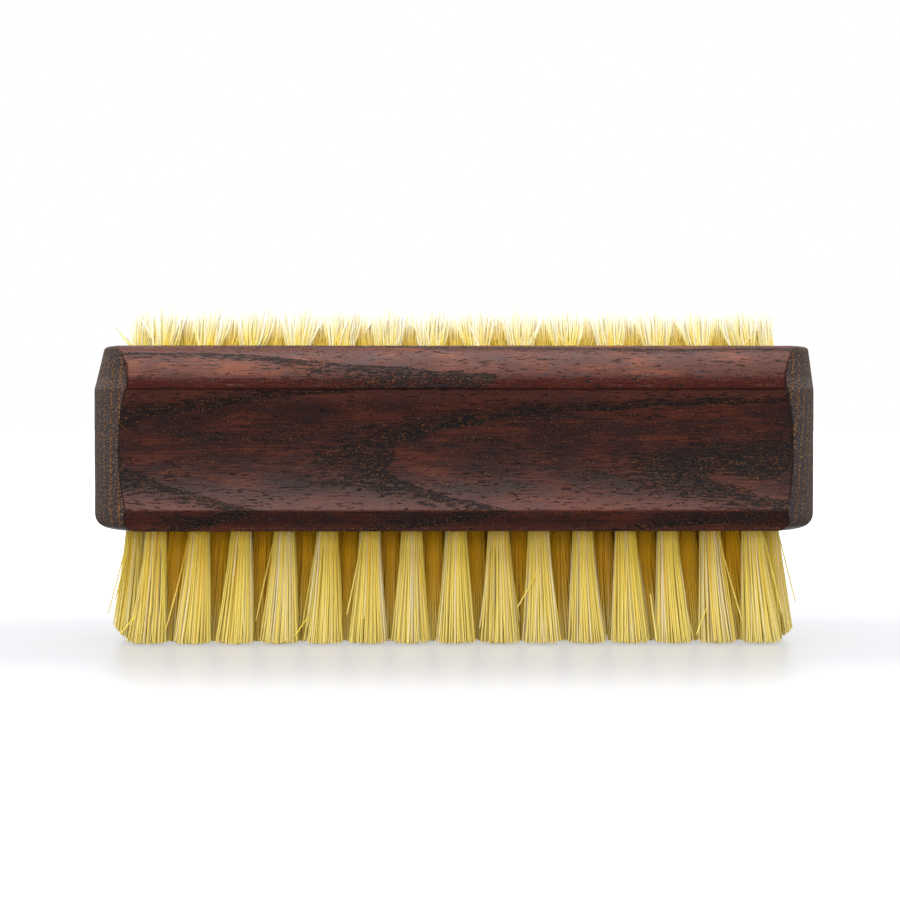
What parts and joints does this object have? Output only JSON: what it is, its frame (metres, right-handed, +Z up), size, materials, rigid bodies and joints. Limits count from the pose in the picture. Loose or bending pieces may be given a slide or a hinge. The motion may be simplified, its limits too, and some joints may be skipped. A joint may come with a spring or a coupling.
{
  "type": "nail brush",
  "caption": "Two-sided nail brush: a dark wooden stock with bowed ends and finger grooves, rows of long plant-fibre tufts below and short ones above, each held by a wire anchor.",
  "frame": {"origin": "under the middle of the brush, on the plane of the long bristles' tips", "axes": "+X along the brush, -Y towards the front side in the picture, +Z up from the long bristles to the short ones"},
  "size_m": [0.095, 0.04, 0.044],
  "materials": {
    "stock_wood": "oiled, open pores",
    "lower_bristle": "bundled plant fibre, pale yellow",
    "upper_bristle": "bundled plant fibre, cream",
    "anchor_wire": "drawn flat wire"
  },
  "bodies": {
    "root": {"stock": "stock_wood", "lower_tuft_row_1": "lower_bristle", "lower_anchor_row_1": "anchor_wire", "lower_tuft_row_2": "lower_bristle", "lower_anchor_row_2": "anchor_wire", "lower_tuft_row_3": "lower_bristle", "lower_anchor_row_3": "anchor_wire", "lower_tuft_row_4": "lower_bristle", "lower_anchor_row_4": "anchor_wire", "lower_tuft_row_5": "lower_bristle", "lower_anchor_row_5": "anchor_wire", "upper_tuft_row_1": "upper_bristle", "upper_anchor_row_1": "anchor_wire", "upper_tuft_row_2": "upper_bristle", "upper_anchor_row_2": "anchor_wire", "upper_tuft_row_3": "upper_bristle", "upper_anchor_row_3": "anchor_wire", "upper_tuft_row_4": "upper_bristle", "upper_anchor_row_4": "anchor_wire", "upper_tuft_row_5": "upper_bristle", "upper_anchor_row_5": "anchor_wire"}
  },
  "joints": []
}
